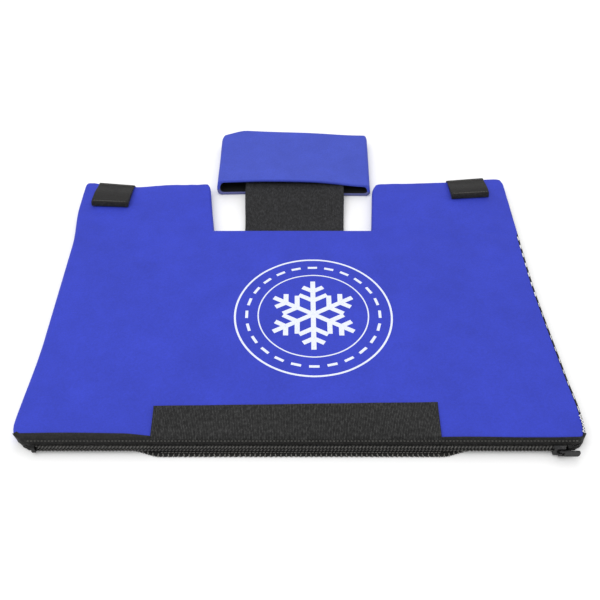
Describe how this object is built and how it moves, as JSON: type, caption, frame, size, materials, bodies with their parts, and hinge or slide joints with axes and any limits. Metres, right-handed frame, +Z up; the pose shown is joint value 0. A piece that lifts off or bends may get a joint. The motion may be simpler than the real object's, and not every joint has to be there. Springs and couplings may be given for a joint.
{
  "type": "cold compression wrap",
  "caption": "Flat neoprene pouch wrap for an ice insert, with a long front zipper, an elastic strap ending in a pocket, and hook tabs on its two ears.",
  "frame": {"origin": "middle of the main panel, on the skin side face that the open wrap rests on", "axes": "+X along the zipper, to the right seen from the front; +Y from the zipper to the ears; +Z up, out of the printed side"},
  "size_m": [0.4576, 0.4353, 0.0183],
  "materials": {
    "blue_neoprene": "nylon-faced neoprene, matt, fine knit",
    "black_elastic": "ribbed woven elastic",
    "black_tape": "thick woven tape",
    "black_hook": "hook tape",
    "zipper_tape": "woven zipper tape",
    "zipper_coil": "nylon coil",
    "zipper_metal": "black enamel",
    "white_thread": "overlock thread",
    "white_print": "screen print",
    "insert_film": "clear film",
    "insert_coolant": "coolant cells"
  },
  "bodies": {
    "root": {"outer_layer_middle": "blue_neoprene", "skin_layer_middle": "blue_neoprene", "overlock_thread_middle": "white_thread", "ice_insert_sheet": "insert_film", "ice_insert_cells": "insert_coolant", "printed_mark": "white_print", "strap_sewn_root": "black_elastic"},
    "front_section": {"outer_layer_front": "blue_neoprene", "skin_layer_front": "blue_neoprene", "overlock_thread_front": "white_thread", "front_elastic_strip": "black_elastic", "zipper_tape_upper": "zipper_tape", "zipper_tape_lower": "zipper_tape", "zipper_coil_upper": "zipper_coil", "zipper_coil_lower": "zipper_coil", "zipper_stop_left": "zipper_metal", "zipper_stop_right": "zipper_metal"},
    "slider": {"zipper_slider": "zipper_metal"},
    "pull": {"zipper_pull": "zipper_metal"},
    "left_ear": {"outer_layer_left_ear": "blue_neoprene", "skin_layer_left_ear": "blue_neoprene", "left_tab_anchor": "black_tape"},
    "right_ear": {"outer_layer_right_ear": "blue_neoprene", "skin_layer_right_ear": "blue_neoprene", "overlock_thread_right_ear": "white_thread", "right_tab_anchor": "black_tape"},
    "left_tab": {"left_tab_tape": "black_tape", "left_tab_hook_patch": "black_hook"},
    "right_tab": {"right_tab_tape": "black_tape", "right_tab_hook_patch": "black_hook"},
    "strap_inner": {"strap_elastic": "black_elastic"},
    "strap_outer": {"strap_elastic_outer": "black_elastic"},
    "pocket": {"pocket_upper": "blue_neoprene", "pocket_lower": "blue_neoprene", "strap_sewn_end": "black_elastic"}
  },
  "joints": [
    {"name": "front_fold", "type": "hinge", "parent": "root", "child": "front_section", "pos_m": [0, -0.08, 0], "axis": [1, 0, 0], "range_deg": [0, 120]},
    {"name": "left_ear_fold", "type": "hinge", "parent": "root", "child": "left_ear", "pos_m": [0, 0.12515, 0], "axis": [-1, 0, 0], "range_deg": [0, 150]},
    {"name": "right_ear_fold", "type": "hinge", "parent": "root", "child": "right_ear", "pos_m": [0, 0.12515, 0], "axis": [-1, 0, 0], "range_deg": [0, 150]},
    {"name": "left_tab_flip", "type": "hinge", "parent": "left_ear", "child": "left_tab", "pos_m": [-0.1975, 0.198, 0.0153], "axis": [-0.9925, 0.1219, 0], "range_deg": [0, 180]},
    {"name": "right_tab_flip", "type": "hinge", "parent": "right_ear", "child": "right_tab", "pos_m": [0.179, 0.20736, 0.0153], "axis": [-0.9925, -0.1219, 0], "range_deg": [0, 180]},
    {"name": "strap_fold", "type": "hinge", "parent": "root", "child": "strap_inner", "pos_m": [-0.006, 0.1265, 0.00485], "axis": [-1, 0, 0], "range_deg": [-85, 95]},
    {"name": "strap_stretch", "type": "slide", "parent": "strap_inner", "child": "strap_outer", "axis": [0, 1, 0], "range_m": [0, 0.02], "stiffness_N_per_m": 300},
    {"name": "pocket_fold", "type": "hinge", "parent": "strap_outer", "child": "pocket", "pos_m": [-0.006, 0.1955, 0.00485], "axis": [-1, 0, 0], "range_deg": [-55, 55]},
    {"name": "zipper_run", "type": "slide", "parent": "front_section", "child": "slider", "axis": [-1, 0, 0], "range_m": [0, 0.409]},
    {"name": "pull_swing", "type": "hinge", "parent": "slider", "child": "pull", "pos_m": [0.2045, -0.1361, 0.006], "axis": [0, 0, -1], "range_deg": [0, 180]}
  ]
}
